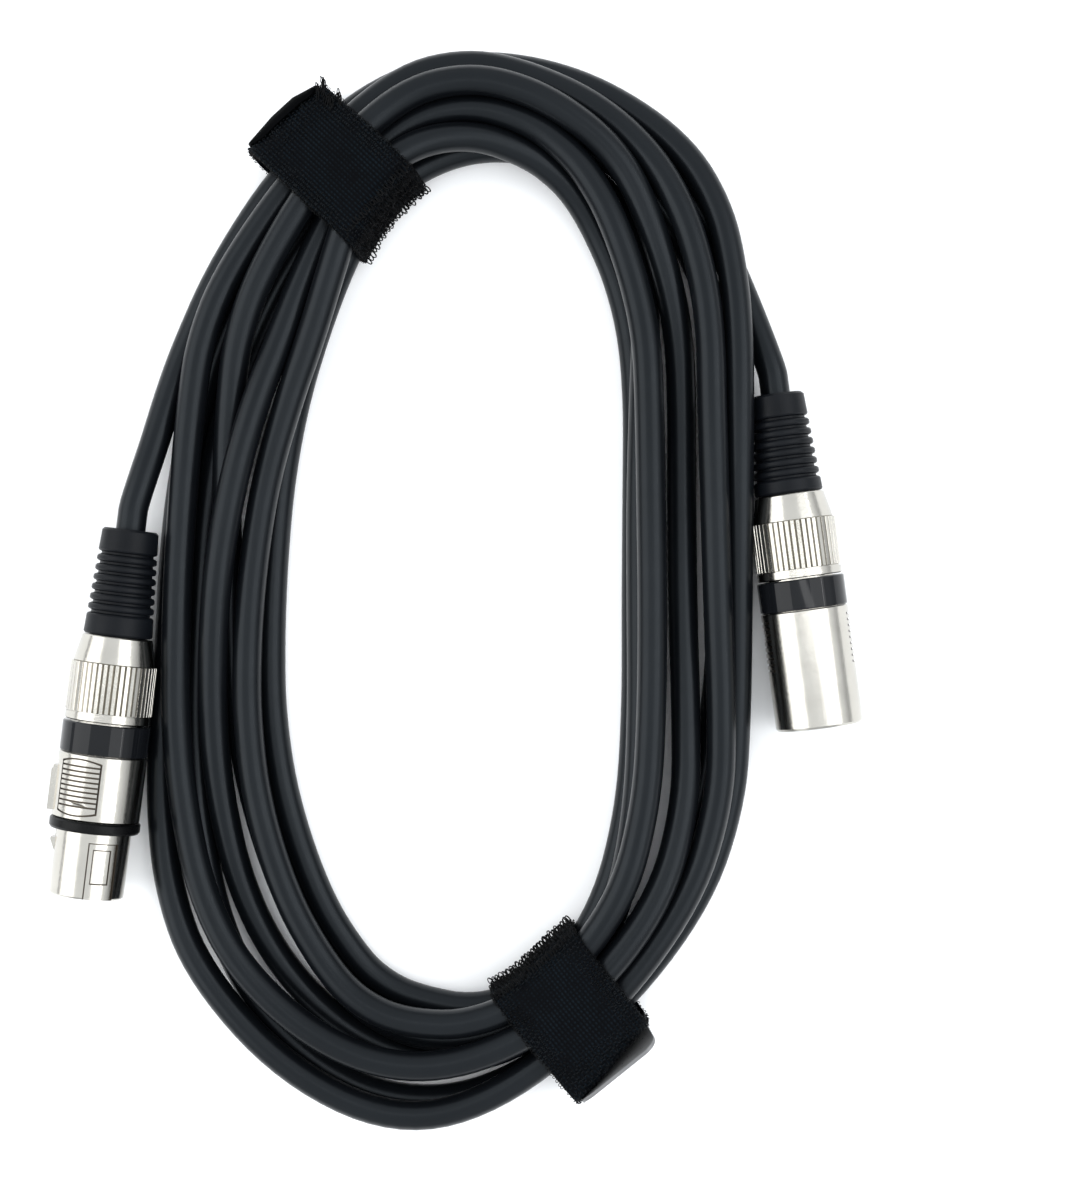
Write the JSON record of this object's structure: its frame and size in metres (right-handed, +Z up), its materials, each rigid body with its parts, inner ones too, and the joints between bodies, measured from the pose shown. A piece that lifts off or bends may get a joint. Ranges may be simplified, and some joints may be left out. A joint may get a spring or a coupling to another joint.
{
  "type": "coiled microphone cable",
  "caption": "Microphone cable wound into an oval hank held by hook-and-loop straps, with a latching female connector and a male pin connector lying alongside on short tails.",
  "frame": {"origin": "under the middle of the object's box, on the surface that it rests on", "axes": "+Z up from the rest surface; +Y is the picture's up, so both connectors point to -Y; +X is the picture's right, the male connector's side"},
  "size_m": [0.1779, 0.2353, 0.02],
  "materials": {
    "cable_jacket": "matt black PVC jacket",
    "shell_metal": "satin nickel plate on die-cast metal",
    "soft_rubber": "matt black rubber",
    "hard_black": "matt black moulded plastic",
    "gloss_black": "glossy black plastic",
    "silver_contact": "silver plated",
    "spring_steel": "bare spring steel",
    "chuck_plastic": "natural acetal",
    "wire_red": "red core insulation",
    "wire_white": "white core insulation",
    "wire_screen": "sleeved screen",
    "loop_fabric": "black woven loop fabric",
    "hook_tape": "smooth dark grey back of hook tape"
  },
  "bodies": {
    "hank": {"female_shell": "shell_metal", "female_latch_spring": "spring_steel", "female_front_ring": "soft_rubber", "female_contact_insert": "hard_black", "female_contact_1": "silver_contact", "female_contact_2": "silver_contact", "female_contact_3": "silver_contact", "female_wire_1": "wire_screen", "female_wire_2": "wire_red", "female_wire_3": "wire_white", "female_glossy_ring": "gloss_black", "female_chuck": "chuck_plastic", "male_shell": "shell_metal", "male_contact_insert": "hard_black", "male_pin_1": "silver_contact", "male_pin_2": "silver_contact", "male_pin_3": "silver_contact", "male_wire_1": "wire_screen", "male_wire_2": "wire_red", "male_wire_3": "wire_white", "male_glossy_ring": "gloss_black", "male_chuck": "chuck_plastic", "cable_coil": "cable_jacket", "cable_tail_female": "cable_jacket", "cable_tail_male": "cable_jacket", "strap_upper_band": "loop_fabric", "strap_lower_band": "loop_fabric"},
    "female_latch": {"female_latch_lever": "shell_metal"},
    "female_boot_carrier": {"female_boot": "soft_rubber"},
    "female_nut": {"female_back_nut": "shell_metal"},
    "male_boot_carrier": {"male_boot": "soft_rubber"},
    "male_nut": {"male_back_nut": "shell_metal"},
    "upper_tab": {"strap_upper_tab": "hook_tape"},
    "lower_tab": {"strap_lower_tab": "hook_tape"}
  },
  "joints": [
    {"name": "female_latch_press", "type": "hinge", "parent": "hank", "child": "female_latch", "pos_m": [-0.08495, -0.03733, 0.0098], "axis": [0, 0, 1], "range_deg": [0, 5], "stiffness_Nm_per_rad": 0.3, "springref_deg": -3.44, "deforming": ["female_latch_spring"]},
    {"name": "female_boot_slide", "type": "slide", "parent": "hank", "child": "female_boot_carrier", "axis": [0.1212, 0.9926, 0], "range_m": [0, 0.00375]},
    {"name": "female_nut_turn", "type": "hinge", "parent": "female_boot_carrier", "child": "female_nut", "pos_m": [-0.075, -0.02021, 0.0098], "axis": [0.1212, 0.9926, 0], "range_deg": [0, 1080]},
    {"name": "male_boot_slide", "type": "slide", "parent": "hank", "child": "male_boot_carrier", "axis": [-0.1323, 0.9912, 0], "range_m": [0, 0.00375]},
    {"name": "male_nut_turn", "type": "hinge", "parent": "male_boot_carrier", "child": "male_nut", "pos_m": [0.07432, 0.0113, 0.0095], "axis": [-0.1323, 0.9912, 0], "range_deg": [0, 1080]},
    {"name": "strap_upper_tab_peel", "type": "hinge", "parent": "hank", "child": "upper_tab", "pos_m": [-0.03611, 0.10319, 0.0026], "axis": [-0.685, -0.7285, 0], "range_deg": [0, 80]},
    {"name": "strap_lower_tab_peel", "type": "hinge", "parent": "hank", "child": "lower_tab", "pos_m": [0.03426, -0.10077, 0.0026], "axis": [0.783, 0.622, 0], "range_deg": [0, 80]}
  ],
  "couplings": [
    {"joint": "female_boot_slide", "follows": "female_nut_turn", "m_per_rad": 0.00019894},
    {"joint": "male_boot_slide", "follows": "male_nut_turn", "m_per_rad": 0.00019894}
  ]
}
